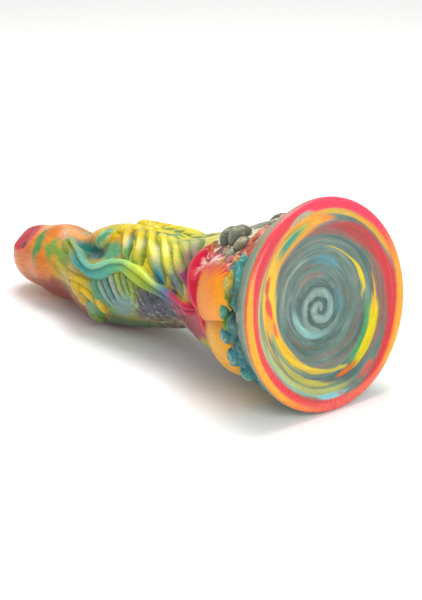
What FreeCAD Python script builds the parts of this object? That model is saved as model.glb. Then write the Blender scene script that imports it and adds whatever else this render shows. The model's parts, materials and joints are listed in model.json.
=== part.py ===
"""A marbled, soft-cast silicone body on a flared suction base, lying on its side.

Everything is drawn along one axis: station 0 is the rim plane of the suction base and
stations grow towards the rounded tip. Local X points to the top of the lying piece, so
an angle round the axis is 0 at the top, negative on the near side and 180 underneath.
The real thing is one casting; each sub-part here is one sculpted zone of it, closed and
butted or bedded face to face with its neighbours.
"""
import FreeCAD, Part
import math
import os
import Sketcher
from FreeCAD import Placement, Rotation, Vector

# Driving dimensions in millimetres (angles in degrees, counts as plain numbers).
SIZES = {
    # suction base
    "rim_radius": 45.0,
    "lip_width": 7.0,
    "lip_height": 6.0,
    "lip_round": 2.6,
    "lip_taper": 0.8,
    "land_width": 2.0,
    "cup_depth": 8.5,
    "disc_radius": 24.0,
    "floor_back": 12.0,
    "base_height": 22.0,
    "flare_station": 9.0,
    "flare_inset": 3.5,
    "skirt_station": 14.0,
    "skirt_inset": 5.5,
    # lengths of the zones behind the base
    "bulb_length": 36.0,
    "neck_length": 37.0,
    "belly_length": 57.0,
    "waist_length": 20.0,
    "shoulder_length": 18.0,
    "tip_length": 26.0,
    # radius and upward lift of each ring of the body
    "root_radius": 37.4, "root_lift": 0.0,
    "lobe_radius": 35.2, "lobe_lift": -0.6,
    "brow_radius": 31.8, "brow_lift": -0.8,
    "throat_radius": 28.4, "throat_lift": -0.8,
    "nape_radius": 23.6, "nape_lift": 0.0,
    "neck_radius": 19.6, "neck_lift": 1.0,
    "chest_radius": 21.6, "chest_lift": 1.6,
    "breast_radius": 22.6, "breast_lift": 1.2,
    "belly_radius": 23.4, "belly_lift": 0.0,
    "hip_radius": 23.2, "hip_lift": -0.8,
    "flank_radius": 21.4, "flank_lift": -1.0,
    "waist_radius": 17.4, "waist_lift": -0.6,
    "saddle_radius": 16.9, "saddle_lift": 0.2,
    "knuckle_radius": 17.6, "knuckle_lift": 1.0,
    "tip_radius": 16.3, "tip_lift": 1.8,
    # oval dimple in the side of the tip
    "dimple_station": 202.0,
    "dimple_angle": -33.0,
    "dimple_half_length": 9.0,
    "dimple_half_width": 6.0,
    "dimple_depth": 1.3,
    # crust round the root of the bulb
    "crust_start": 12.5,
    "crust_end": 25.0,
    "crust_inset": 4.6,
    "crust_end_rise": 1.0,
    "crust_bed": 3.0,
    "crust_lump_radius": 5.4,
    "crust_lump_rise": 1.8,
    "crust_lumps": 13,
    "knob_radius": 5.2,
    "knob_rise": 2.8,
    # lobes on the bulb
    "lobe_half_length": 11.5,
    "lobe_half_width": 13.0,
    "lobe_half_height": 9.0,
    "lobe_rise": 3.4,
    # ridges and strands
    "throat_ridge_radius": 4.6,
    "throat_ridge_sink": 2.6,
    "rib_half_width": 2.7,
    "rib_rise": 1.6,
    "rib_count": 8,
    "fold_half_width": 2.9,
    "fold_rise": 1.7,
    "fold_count": 6,
    "tendril_half_width": 3.9,
    "tendril_rise": 2.6,
    "braid_bead_radius": 4.3,
    "braid_rise": 2.1,
    "braid_beads": 8,
    "horn_radius": 4.4,
    "horn_rise": 3.6,
}

# The rings of each zone, as (share of the zone's own length, ring name).
ZONES = {
    "bulb": [(0.0, "root"), (0.33, "lobe"), (0.7, "brow"), (1.0, "throat")],
    "neck": [(0.0, "throat"), (0.35, "nape"), (0.7, "neck"), (1.0, "chest")],
    "belly": [(0.0, "chest"), (0.28, "breast"), (0.6, "belly"), (0.86, "hip"), (1.0, "flank")],
    "waist": [(0.0, "flank"), (0.5, "waist"), (1.0, "saddle")],
    "shoulder": [(0.0, "saddle"), (0.55, "knuckle"), (1.0, "tip")],
}

# Courses of the strands on the near side, as (zone, share of its length, angle); the far
# side mirrors them.
TENDRIL_COURSE = [("neck", 0.16, -92), ("neck", 0.56, -93), ("neck", 0.78, -86),
                  ("belly", 0.00, -77), ("belly", 0.15, -68), ("belly", 0.32, -64),
                  ("belly", 0.48, -71), ("belly", 0.62, -74), ("belly", 0.77, -68),
                  ("belly", 0.91, -57), ("waist", 0.20, -45), ("waist", 0.70, -33)]
BRAID_COURSE = [("waist", 0.70, -81), ("waist", 0.10, -83), ("belly", 0.88, -86),
                ("belly", 0.79, -93), ("belly", 0.73, -104)]

# Where the first and the last strand of each fan begin and end, as (zone, share of its length).
RIB_TOPS = [("belly", 0.07), ("belly", 0.79)]
RIB_FEET = [("neck", 0.1), ("belly", 0.4)]
FOLD_TOPS = [("belly", 0.09), ("belly", 0.65)]
FOLD_FEET = [("belly", 0.19), ("belly", 0.93)]

doc = FreeCAD.newDocument("soft_cast_piece")


def make_sheet():
    """Put every driving dimension in its own cell, under its own alias."""
    sheet = doc.addObject("Spreadsheet::Sheet", "Sheet")
    for row, (alias, value) in enumerate(SIZES.items(), start=1):
        cell = "B%d" % row
        sheet.set("A%d" % row, alias)
        sheet.set(cell, str(value))
        sheet.setAlias(cell, alias)
    return sheet


sheet = make_sheet()
doc.recompute()


def size(alias):
    """One driving dimension, read from the sheet."""
    return float(getattr(sheet, alias))


def cell(alias):
    """The expression for one driving dimension."""
    return "Sheet." + alias


def zone_start(zone):
    """The expression for the station where a zone begins; the tip follows the last one."""
    terms = [cell("base_height")]
    for name in ZONES:
        if name == zone:
            break
        terms.append(cell(name + "_length"))
    return " + ".join(terms)


def within(zone, share):
    """The expression for the station at a share of a zone's own length."""
    return "%s + %s * %s" % (zone_start(zone), share, cell(zone + "_length"))


def bind(thing, **expressions):
    """Bind properties to expressions; a double underscore stands for a dot."""
    for name, expression in expressions.items():
        thing.setExpression(name.replace("__", "."), expression)


def new_body(label):
    body = doc.addObject("PartDesign::Body", label)
    body.Label = label
    return body


def origin_plane(body, role):
    """One of a body's own origin planes."""
    return next(plane for plane in body.Origin.OriginFeatures if plane.Role == role)


def ring_sketch(body, name, station, radius, lift):
    """One circle round the axis, at a station, with its radius and lift bound."""
    sketch = body.newObject("Sketcher::SketchObject", name)
    sketch.AttachmentSupport = [(origin_plane(body, "XY_Plane"), "")]
    sketch.MapMode = "FlatFace"
    sketch.addGeometry(Part.Circle(Vector(0, 0, 0), Vector(0, 0, 1), 20.0), False)
    sketch.addConstraint(Sketcher.Constraint("Coincident", 0, 3, -1, 1))
    sketch.addConstraint(Sketcher.Constraint("Radius", 0, 20.0))
    sketch.renameConstraint(1, "ring_radius")
    sketch.setExpression("Constraints.ring_radius", radius)
    bind(sketch, AttachmentOffset__Base__z=station, AttachmentOffset__Base__x=lift)
    return sketch


def zone_body(zone):
    """A smooth loft through the rings of one zone."""
    body = new_body(zone + "_skin")
    sketches = []
    for share, ring in ZONES[zone]:
        sketches.append(ring_sketch(body, "%s_at_%s" % (zone, ring), within(zone, share),
                                    cell(ring + "_radius"), cell(ring + "_lift")))
    loft = body.newObject("PartDesign::AdditiveLoft", zone + "_loft")
    loft.Profile = sketches[0]
    loft.Sections = sketches[1:]
    loft.Ruled = False
    return body


def revolved_body(label, outline):
    """A solid of revolution round the axis, from (radius, station) expressions."""
    body = new_body(label)
    sketch = body.newObject("Sketcher::SketchObject", label + "_outline")
    sketch.AttachmentSupport = [(origin_plane(body, "XZ_Plane"), "")]
    sketch.MapMode = "FlatFace"
    count = len(outline)
    # the sketch starts from the true places, so that the solver keeps the outline's sense
    places = [Vector(evaluate(radius), evaluate(station), 0) for radius, station in outline]
    for i in range(count):
        sketch.addGeometry(Part.LineSegment(places[i], places[(i + 1) % count]), False)
    for i in range(count):
        sketch.addConstraint(Sketcher.Constraint("Coincident", i, 2, (i + 1) % count, 1))
    for i, (radius, station) in enumerate(outline):
        for axis, expression in (("DistanceX", radius), ("DistanceY", station)):
            value = places[i].x if axis == "DistanceX" else places[i].y
            index = sketch.addConstraint(Sketcher.Constraint(axis, -1, 1, i, 1, value))
            name = "%s_%d" % ("radius" if axis == "DistanceX" else "station", i)
            sketch.renameConstraint(index, name)
            sketch.setExpression("Constraints." + name, expression)
    turn = body.newObject("PartDesign::Revolution", label + "_turn")
    turn.Profile = sketch
    turn.ReferenceAxis = (sketch, ["V_Axis"])
    turn.Angle = 360.0
    return body


def evaluate(expression):
    """The present value of an expression made of cells and plain numbers."""
    return float(FreeCAD.Units.Quantity(sheet.evalExpression(expression)).Value)


def child_of(kind, name, **links):
    """A document object of one kind, with its link properties set."""
    thing = doc.addObject(kind, name)
    for link, target in links.items():
        setattr(thing, link, target)
    return thing


def cut_with(name, base, tools):
    """The base with each tool taken from it in turn."""
    for number, tool in enumerate(tools):
        base = child_of("Part::Cut", "%s_cut_%d" % (name, number), Base=base, Tool=tool)
    return base


# ---------------------------------------------------------------- suction base

def cup_hollow():
    """The ball whose cap is the hollow of the suction cup."""
    mouth = "(Sheet.rim_radius - Sheet.lip_round - Sheet.land_width)"
    ball_radius = "(%s^2 + Sheet.cup_depth^2) / (2 * Sheet.cup_depth)" % mouth
    ball = doc.addObject("Part::Sphere", "cup_hollow")
    bind(ball, Radius=ball_radius, Placement__Base__z="Sheet.cup_depth - " + ball_radius)
    return ball


def suction_disc(hollow):
    """The middle of the cup's floor."""
    blank = doc.addObject("Part::Cylinder", "disc_blank")
    bind(blank, Radius="Sheet.disc_radius", Height="Sheet.floor_back")
    return cut_with("disc", blank, [hollow])


def cup_wall(hollow):
    """The ring of the cup's floor between the disc and the lip."""
    inner = "Sheet.disc_radius"
    outer = "Sheet.rim_radius - Sheet.lip_width"
    blank = revolved_body("wall_blank", [(inner, "0"), (outer, "0"), (outer, "Sheet.floor_back"),
                                         (inner, "Sheet.floor_back")])
    return cut_with("wall", blank, [hollow])


def rim_lip(hollow):
    """The lip ring, with a narrow flat land that seals and a rounded outer edge."""
    inner = "Sheet.rim_radius - Sheet.lip_width"
    back = "Sheet.rim_radius - Sheet.lip_taper"
    blank = revolved_body("lip_blank", [
        (inner, "0"), ("Sheet.rim_radius", "0"), ("Sheet.rim_radius", "Sheet.lip_height / 2"),
        (back, "Sheet.lip_height"), (inner, "Sheet.lip_height")])
    doc.recompute()
    turn = blank.Tip
    edges = ["Edge%d" % (i + 1) for i, edge in enumerate(turn.Shape.Edges)
             if abs(edge.BoundBox.ZMax) < 1e-6 and edge.BoundBox.XMax > size("rim_radius") - 1e-3]
    rounding = blank.newObject("PartDesign::Fillet", "lip_rounding")
    rounding.Base = (turn, edges)
    bind(rounding, Radius="Sheet.lip_round")
    return cut_with("lip", blank, [hollow])


def base_flange():
    """The flared skirt behind the cup, solid up to the root of the bulb."""
    inner = "Sheet.rim_radius - Sheet.lip_width"
    outline = [("0", "Sheet.floor_back"), (inner, "Sheet.floor_back"), (inner, "Sheet.lip_height"),
               ("Sheet.rim_radius - Sheet.lip_taper", "Sheet.lip_height"),
               ("Sheet.rim_radius - Sheet.flare_inset", "Sheet.flare_station"),
               ("Sheet.rim_radius - Sheet.skirt_inset", "Sheet.skirt_station"),
               ("Sheet.root_radius", "Sheet.base_height"), ("0", "Sheet.base_height")]
    return revolved_body("flange_turned", outline)


# ---------------------------------------------------------------- crust and knobs

def crust_row(name, station, ring_radius, offset):
    """One row of half-buried round lumps, evenly spaced round the axis."""
    reach = "(%s + Sheet.crust_lump_rise - Sheet.crust_lump_radius)" % ring_radius
    lumps = []
    for number in range(int(size("crust_lumps"))):
        turn = "(%s) * 360 / Sheet.crust_lumps" % (number + offset)
        lump = doc.addObject("Part::Sphere", "%s_lump_%d" % (name, number))
        bind(lump, Radius="Sheet.crust_lump_radius", Placement__Base__z=station,
             Placement__Base__x="%s * cos(%s)" % (reach, turn),
             Placement__Base__y="%s * sin(%s)" % (reach, turn))
        lumps.append(lump)
    return lumps


def crust_blank():
    """The rocky collar before it is bedded: a ring with two staggered rows of lumps."""
    inner = "Sheet.root_radius - Sheet.crust_bed"
    outer = "(Sheet.rim_radius - Sheet.crust_inset)"
    end = "(Sheet.root_radius + Sheet.crust_end_rise)"
    ring = revolved_body("crust_ring", [
        (inner, "Sheet.crust_start"), (outer, "Sheet.crust_start"),
        (outer, "(Sheet.crust_start + 2 * Sheet.crust_end) / 3"),
        (end, "Sheet.crust_end"), (inner, "Sheet.crust_end")])
    low = crust_row("low", "Sheet.crust_start + Sheet.crust_lump_radius", outer, 0.0)
    high = crust_row("high", "Sheet.crust_end - 0.5 * Sheet.crust_lump_radius", end, 0.5)
    return child_of("Part::MultiFuse", "crust_blank", Shapes=[ring] + low + high)


def bump(name, station, angle, skin, rise, lengths):
    """An ellipsoid half buried in the skin; lengths are along, across and outwards."""
    along, across, outwards = lengths
    ball = doc.addObject("Part::Ellipsoid", name)
    reach = "(%s + %s - %s)" % (skin, rise, outwards)
    bind(ball, Radius1=along, Radius2=outwards, Radius3=across,
         Placement__Base__x="%s * cos(%s)" % (reach, angle),
         Placement__Base__y="%s * sin(%s)" % (reach, angle),
         Placement__Base__z=station, Placement__Rotation__Angle=angle)
    return ball


def knobs():
    """A loose cluster of smooth knobs on top, where the crust meets the bulb."""
    places = [(0.0, -27, 1.0), (1.2, -9, 1.1), (0.0, 0, 1.0), (1.4, 13, 0.9), (0.0, 27, 1.0)]
    first = "Sheet.crust_end + 1.6 * Sheet.knob_radius"
    balls = []
    for number, (step, angle, share) in enumerate(places):
        length = "Sheet.knob_radius * %s" % share
        station = "%s + %s * Sheet.knob_radius" % (first, step)
        balls.append(bump("knob_%d" % number, station, str(angle), "Sheet.lobe_radius",
                          "Sheet.knob_rise", (length, length, length)))
    return child_of("Part::MultiFuse", "knob_cluster", Shapes=balls)


# ---------------------------------------------------------------- strands on the skin

def skin_at(station):
    """Radius and lift of the skin at a station, straight between its rings."""
    begin = size("base_height")
    rings = []
    for zone, zone_rings in ZONES.items():
        length = size(zone + "_length")
        rings += [(begin + share * length, ring) for share, ring in zone_rings]
        begin += length
    for (low, first), (high, second) in zip(rings, rings[1:]):
        if low <= station <= high and high > low:
            share = (station - low) / (high - low)
            return [size(first + part) * (1 - share) + size(second + part) * share
                    for part in ("_radius", "_lift")]
    return size("tip_radius"), size("tip_lift")


def on_skin(station, angle, height):
    """A point a given height above the skin."""
    radius, lift = skin_at(station)
    turn = math.radians(angle)
    return Vector(lift + (radius + height) * math.cos(turn), (radius + height) * math.sin(turn),
                  station)


def course_points(course):
    """The points of a course, on the skin."""
    return [on_skin(evaluate(within(zone, share)), angle, 0.0) for zone, share, angle in course]


def strand(points, half_width, rise, steps=14):
    """A soft ridge along points on the skin, sunk at both ends."""
    curve = Part.BSplineCurve()
    curve.interpolate(points)
    rings = []
    for step in range(steps + 1):
        share = step / steps
        value = curve.FirstParameter + share * (curve.LastParameter - curve.FirstParameter)
        point = curve.value(value)
        radius, lift = skin_at(point.z)
        outwards = (point - Vector(lift, 0, point.z)).normalize()
        swell = math.sin(math.pi * share) ** 0.2
        height = rise - half_width - (1 - swell) * (rise + 0.4 * half_width)
        centre = Vector(lift, 0, point.z) + outwards * (radius + height)
        ring = Part.Circle(centre, curve.tangent(value)[0], half_width)
        rings.append(Part.Wire(ring.toShape()))
    return Part.makeLoft(rings, True, False)


def own_shape(name, shape):
    feature = doc.addObject("Part::Feature", name)
    feature.Shape = shape
    return feature


def fan_station(ends, share):
    """The station at a share of the way from the first strand of a fan to the last."""
    first, last = [evaluate(within(zone, place)) for zone, place in ends]
    return first + (last - first) * share


def tendril():
    """The long S-shaped strand along the side."""
    shape = strand(course_points(TENDRIL_COURSE), size("tendril_half_width"),
                   size("tendril_rise"), steps=22)
    return own_shape("tendril_strand", shape)


def rib_fan():
    """Ribs that fan from the top of the belly down to the side of the neck."""
    ribs = []
    count = int(size("rib_count"))
    for number in range(count):
        share = number / (count - 1)
        top = fan_station(RIB_TOPS, share)
        foot = fan_station(RIB_FEET, share)
        middle = 0.55 * top + 0.45 * foot
        course = [(top, -4), (top - 3, -18), (middle, -40), (foot, -74 + 24 * share)]
        points = [on_skin(station, angle, 0.0) for station, angle in course]
        ribs.append(strand(points, size("rib_half_width"), size("rib_rise")))
    return own_shape("rib_strands", Part.makeCompound(ribs))


def fold_fan():
    """Flame-like folds from the tendril down to the underside, where the piece rests."""
    folds = []
    count = int(size("fold_count"))
    for number in range(count):
        share = number / (count - 1)
        top = fan_station(FOLD_TOPS, share)
        foot = fan_station(FOLD_FEET, share)
        course = [(top, -86 - 8 * share), (top + 1, -114), ((top + foot) / 2, -145), (foot, -176)]
        points = [on_skin(station, angle, 0.0) for station, angle in course]
        folds.append(strand(points, size("fold_half_width"), size("fold_rise")))
    return own_shape("fold_strands", Part.makeCompound(folds))


def braid():
    """A lumpy strand: overlapping beads along a course."""
    curve = Part.BSplineCurve()
    sunk = size("braid_rise") - size("braid_bead_radius")
    curve.interpolate([on_skin(evaluate(within(zone, share)), angle, sunk)
                       for zone, share, angle in BRAID_COURSE])
    count = int(size("braid_beads"))
    span = curve.LastParameter - curve.FirstParameter
    beads = []
    for number in range(count):
        point = curve.value(curve.FirstParameter + span * number / (count - 1))
        swell = 1.0 if number % 2 else 0.84
        beads.append(Part.makeSphere(size("braid_bead_radius") * swell, point))
    return own_shape("braid_bead_chain", beads[0].multiFuse(beads[1:]))


def throat_ridge():
    """The crimson ridge round the end of the bulb."""
    ring = doc.addObject("Part::Torus", "throat_ring")
    sink = "Sheet.throat_ridge_sink"
    bind(ring, Radius1="Sheet.throat_radius - " + sink, Radius2="Sheet.throat_ridge_radius",
         Placement__Base__z=zone_start("neck"), Placement__Base__x="Sheet.throat_lift")
    return ring


def tip_blank():
    """The rounded tip: half an ellipsoid on the last ring."""
    dome = doc.addObject("Part::Ellipsoid", "tip_dome")
    dome.Angle1 = 0.0
    bind(dome, Radius1="Sheet.tip_length", Radius2="Sheet.tip_radius", Radius3="Sheet.tip_radius",
         Placement__Base__x="Sheet.tip_lift", Placement__Base__z=zone_start("tip"))
    return dome


def tip_dimple():
    """The shallow oval dimple's tool: an ellipsoid sunk into the tip by a third of its radius."""
    along = size("dimple_station") - evaluate(zone_start("tip"))
    share = along / size("tip_length")
    skin = size("tip_radius") * math.sqrt(1 - share ** 2)
    deep = 3 * size("dimple_depth")
    lean = math.degrees(math.atan(size("tip_radius") / size("tip_length") * share
                                  / math.sqrt(1 - share ** 2)))
    turn = Rotation(Vector(0, 0, 1), size("dimple_angle"))
    place = (Vector(size("tip_lift"), 0, size("dimple_station"))
             + turn.multVec(Vector(skin + deep - size("dimple_depth"), 0, 0)))
    tool = doc.addObject("Part::Ellipsoid", "dimple_tool")
    widening = " / sqrt(1 - (2 / 3)^2)"
    bind(tool, Radius1="Sheet.dimple_half_length" + widening, Radius2="3 * Sheet.dimple_depth",
         Radius3="Sheet.dimple_half_width" + widening)
    tool.Placement = Placement(place, turn.multiply(Rotation(Vector(0, 1, 0), -lean)))
    return tool


# ---------------------------------------------------------------- assembly

NODES = {}


def finish(label, raw):
    """The finished sub-part: its own object, under its own label."""
    node = child_of("Part::Refine", label, Source=raw)
    node.Label = label
    NODES[label] = node


def finish_pair(label, raw):
    """The near-side sub-part, and the far one as its mirror image."""
    finish(label + "_near", raw)
    twin = doc.addObject("Part::Mirroring", label + "_twin")
    twin.Source = raw
    twin.Base = Vector(0, 0, 0)
    twin.Normal = Vector(0, 1, 0)
    finish(label + "_far", twin)


def build_base():
    """The suction cup, its flange and the zones of the body, each butted to the next."""
    hollow = cup_hollow()
    flange = base_flange()
    skins = {zone: zone_body(zone) for zone in ZONES}
    finish("rim_lip", rim_lip(hollow))
    finish("suction_disc", suction_disc(hollow))
    finish("cup_wall", cup_wall(hollow))
    finish("base_flange", flange)
    for zone, skin in skins.items():
        finish(zone, skin)
    finish("tip", cut_with("tip", tip_blank(), [tip_dimple()]))
    return child_of("Part::MultiFuse", "bedding", Shapes=[flange] + list(skins.values()))


def build_relief(bedding):
    """Everything that stands out of the body, bedded in it and in each other."""
    finish("crust_collar", cut_with("crust", crust_blank(), [bedding]))
    lengths = ("Sheet.lobe_half_length", "Sheet.lobe_half_width", "Sheet.lobe_half_height")
    upper = bump("upper_lobe_ball", within("bulb", 0.47), "-68", "Sheet.lobe_radius",
                 "Sheet.lobe_rise", lengths)
    lower = bump("lower_lobe_ball", within("bulb", 0.47), "-112", "Sheet.lobe_radius",
                 "Sheet.lobe_rise", lengths)
    finish_pair("upper_lobe", cut_with("upper", upper, [bedding]))
    finish_pair("lower_lobe", cut_with("lower", lower, [bedding, upper]))
    finish("crust_knobs", cut_with("knobs", knobs(), [bedding]))
    ridge = throat_ridge()
    finish("throat_ridge", cut_with("ridge", ridge, [bedding]))
    whip = tendril()
    finish_pair("tendril", cut_with("tendril", whip, [bedding, ridge]))
    plait = braid()
    finish_pair("braid", cut_with("braid", plait, [bedding, whip]))
    ribs = rib_fan()
    finish_pair("rib_fan", cut_with("ribs", ribs, [bedding, ridge, whip]))
    finish_pair("fold_fan", cut_with("folds", fold_fan(), [bedding, whip, plait]))
    wide = "Sheet.horn_radius"
    horn = bump("horn_ball", within("belly", 0.7), "-31", "Sheet.hip_radius", "Sheet.horn_rise",
                ("1.3 * " + wide, wide, wide))
    finish_pair("shoulder_horn", cut_with("horn", horn, [bedding, whip, ribs]))


def corners(labels):
    """Points all over the named sub-parts, in the piece's own frame."""
    return [point for label in labels for point in NODES[label].Shape.tessellate(0.1)[0]]


def lowest(points, tilt):
    """How far the points reach below the axis origin when the axis is tilted."""
    return min(point.x * math.cos(tilt) - point.z * math.sin(tilt) for point in points)


def lying_placement():
    """Lay the piece down so that its rim and its belly both touch the floor."""
    base = corners(["rim_lip", "base_flange", "crust_collar"])
    belly = corners(["belly", "waist", "fold_fan_near", "fold_fan_far"])
    low, high = 0.0, math.radians(25)
    for _ in range(40):
        tilt = (low + high) / 2
        if lowest(base, tilt) < lowest(belly, tilt):
            low = tilt
        else:
            high = tilt
    turn = Rotation(Vector(0, 1, 0), -90 - math.degrees(tilt))
    everything = [turn.multVec(point) for point in corners(NODES)]
    middle = [(max(values) + min(values)) / 2
              for values in ([p.x for p in everything], [p.y for p in everything])]
    floor = min(p.z for p in everything)
    return Placement(Vector(-middle[0], -middle[1], -floor), turn)


def check():
    """Refuse to write anything from a failed or broken object."""
    for thing in doc.Objects:
        if "Invalid" in thing.State or "Error" in thing.State:
            raise RuntimeError("%s failed: %s" % (thing.Name, thing.State))
    for label, node in NODES.items():
        shape = node.Shape
        if shape.isNull() or not shape.isValid() or not shape.Solids:
            raise RuntimeError("%s has no sound solid" % label)


def write_all():
    os.makedirs("parts", exist_ok=True)
    for label, node in NODES.items():
        node.Shape.exportStep("parts/%s.step" % label)


build_relief(build_base())
doc.recompute()
check()
placement = lying_placement()
for node in NODES.values():
    node.Placement = placement
doc.recompute()
check()
write_all()
for label, node in NODES.items():
    box = node.Shape.BoundBox
    print("%-20s solids %2d  volume %9.1f  z %.2f to %.2f"
          % (label, len(node.Shape.Solids), node.Shape.Volume, box.ZMin, box.ZMax))
print("placement", placement)
land = size("rim_radius") - size("lip_round") - size("land_width") / 2
print("land point", placement.multVec(Vector(land, 0, 0)))
print("rim centre", placement.multVec(Vector(0, 0, 0)))
print("outward", placement.Rotation.multVec(Vector(0, 0, -1)))
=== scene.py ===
"""Looks for a marbled, soft-cast silicone piece on a flared suction base, lying on its side.

The casting is drawn in its own terms: a station is a distance in millimetres from the rim plane
along the axis to the tip, and an angle goes round the axis, 0 on top and negative on the near side.
"""
import itertools
import json

import bpy
import numpy as np
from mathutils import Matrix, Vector

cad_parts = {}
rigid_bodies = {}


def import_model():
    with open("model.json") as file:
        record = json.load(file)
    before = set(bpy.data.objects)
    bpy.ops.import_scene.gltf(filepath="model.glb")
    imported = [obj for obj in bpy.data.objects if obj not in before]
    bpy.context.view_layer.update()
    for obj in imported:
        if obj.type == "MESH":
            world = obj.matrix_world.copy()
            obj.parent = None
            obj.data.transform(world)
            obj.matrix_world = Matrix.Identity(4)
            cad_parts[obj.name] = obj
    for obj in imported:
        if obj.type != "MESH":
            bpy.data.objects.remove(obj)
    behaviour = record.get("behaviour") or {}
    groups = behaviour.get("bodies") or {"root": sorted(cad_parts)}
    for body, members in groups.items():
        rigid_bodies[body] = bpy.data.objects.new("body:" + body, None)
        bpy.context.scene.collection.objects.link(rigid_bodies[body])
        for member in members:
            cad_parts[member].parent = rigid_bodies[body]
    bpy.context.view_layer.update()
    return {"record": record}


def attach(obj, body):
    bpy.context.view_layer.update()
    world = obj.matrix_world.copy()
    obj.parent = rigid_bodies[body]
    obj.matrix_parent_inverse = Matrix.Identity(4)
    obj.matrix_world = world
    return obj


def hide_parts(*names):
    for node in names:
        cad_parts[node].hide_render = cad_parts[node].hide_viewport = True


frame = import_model()
for stray in [o for o in bpy.data.objects if o.type in ("LIGHT", "CAMERA") or o.name == "Cube"]:
    bpy.data.objects.remove(stray)

# ------------------------------------------------------------
# Where the casting lies. The record's cup face gives the middle of the suction rim and the axis,
# which leans down and back to the tip: the rim's edge and the belly both rest on the floor.
cup_face = next(m for m in frame["record"]["mounts"] if m["name"] == "cup_face")
outward = np.array(cup_face["axis"])
upward = np.array([-outward[2], 0.0, outward[0]])
sideways = np.array([0.0, 1.0, 0.0])
LAND_RADIUS = 0.0414        # the mount stands on the flat land of the rim, this far above its middle
rim_centre = np.array(cup_face["pos_m"]) - LAND_RADIUS * upward


def place(station, up, side):
    """Millimetres to metres in the row frame: the rim centre, less the station along the outward
    axis, plus the height and the sideways offset."""
    station, up, side = (np.asarray(x)[..., None] / 1000 for x in (station, up, side))
    return rim_centre - station * outward + up * upward + side * sideways


# The camera stands to the near side of the suction face, a little above it, with a long lens.
CAMERA_DISTANCE, CAMERA_TURN, CAMERA_RISE = 0.857, 44.51, 19.68     # metres, degrees, degrees
CAMERA_PAN, CAMERA_TILT, CAMERA_LENS = 3.47, 0.125, 124.6           # degrees, degrees, millimetres
turn, rise = np.radians(CAMERA_TURN), np.radians(CAMERA_RISE)
back = np.array([np.cos(turn) * np.cos(rise), -np.sin(turn) * np.cos(rise), np.sin(rise)])
camera = bpy.data.objects.new("camera", bpy.data.cameras.new("camera"))
camera.data.lens, camera.data.sensor_width, camera.data.sensor_fit = CAMERA_LENS, 36.0, "AUTO"
camera.location = rim_centre + CAMERA_DISTANCE * back
heading = np.arctan2(-back[1], -back[0]) + np.radians(CAMERA_PAN)
dip = -rise + np.radians(CAMERA_TILT)
gaze = Vector((np.cos(heading) * np.cos(dip), np.sin(heading) * np.cos(dip), np.sin(dip)))
camera.rotation_euler = gaze.to_track_quat("-Z", "Y").to_euler()
bpy.context.collection.objects.link(camera)
bpy.context.scene.camera = camera
bpy.context.scene.view_settings.view_transform = "Standard"

# ------------------------------------------------------------
# The floor and the light: a seamless pale sweep under one big soft overhead panel, with a low
# fill from the camera's side, so that the contact shadows stay soft and short.


def add_node(tree, kind, settings=None, **links):
    """Add one node: settings are its own properties or its inputs' values, and each link feeds
    one input, named with _ for a blank, from an output of another node."""
    node = tree.nodes.new(kind)
    for key, value in (settings or {}).items():
        if key in node.inputs:
            node.inputs[key].default_value = value
        else:
            setattr(node, key, value)
    for key, output in links.items():
        tree.links.new(output, node.inputs[key.replace("_", " ")])
    return node


def linear(hexes):
    """sRGB hex colours as linear red, green and blue: c/12.92, or ((c+0.055)/1.055)^2.4 above
    0.04045. One colour gives three numbers, and a list of them gives rows of three."""
    many = [hexes] if isinstance(hexes, str) else list(hexes)
    c = np.array([[int(h[i:i + 2], 16) / 255 for i in (1, 3, 5)] for h in many])
    c = np.where(c <= 0.04045, c / 12.92, ((c + 0.055) / 1.055) ** 2.4)
    return c[0] if isinstance(hexes, str) else c


floor_mesh = bpy.data.meshes.new("floor")
FLOOR_HALF = 4.0            # metres
floor_corners = [(x * FLOOR_HALF, y * FLOOR_HALF, 0) for x, y in ((-1, -1), (1, -1), (1, 1), (-1, 1))]
floor_mesh.from_pydata(floor_corners, [], [(0, 1, 2, 3)])
floor = bpy.data.objects.new("floor", floor_mesh)
bpy.context.collection.objects.link(floor)
# matt painted sweep: rough and hardly specular, so nothing is mirrored in it
sweep = bpy.data.materials.new("matt_white_sweep")
sweep.use_nodes = True
sweep_shader = sweep.node_tree.nodes["Principled BSDF"]
sweep_shader.inputs["Base Color"].default_value = (*linear("#f6f5f4"), 1)
sweep_shader.inputs["Roughness"].default_value = 0.9
sweep_shader.inputs["Specular IOR Level"].default_value = 0.1
floor_mesh.materials.append(sweep)

world = bpy.data.worlds.new("studio")
world.use_nodes = True
world.node_tree.nodes["Background"].inputs["Color"].default_value = (1, 1, 1, 1)
world.node_tree.nodes["Background"].inputs["Strength"].default_value = 0.62
bpy.context.scene.world = world

for name, spot, target, size, watts in (
        ("overhead_panel", (-0.1, 0.15, 0.9), (0, 0, 0), 0.55, 6.6),
        ("front_panel", (0.85, -0.3, 0.5), (0, 0, 0.03), 0.5, 5.0)):
    lamp = bpy.data.lights.new(name, "AREA")
    lamp.size, lamp.energy = size, watts
    panel = bpy.data.objects.new(name, lamp)
    panel.location = spot
    panel.rotation_euler = (Vector(target) - Vector(spot)).to_track_quat("-Z", "Y").to_euler()
    bpy.context.collection.objects.link(panel)

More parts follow.
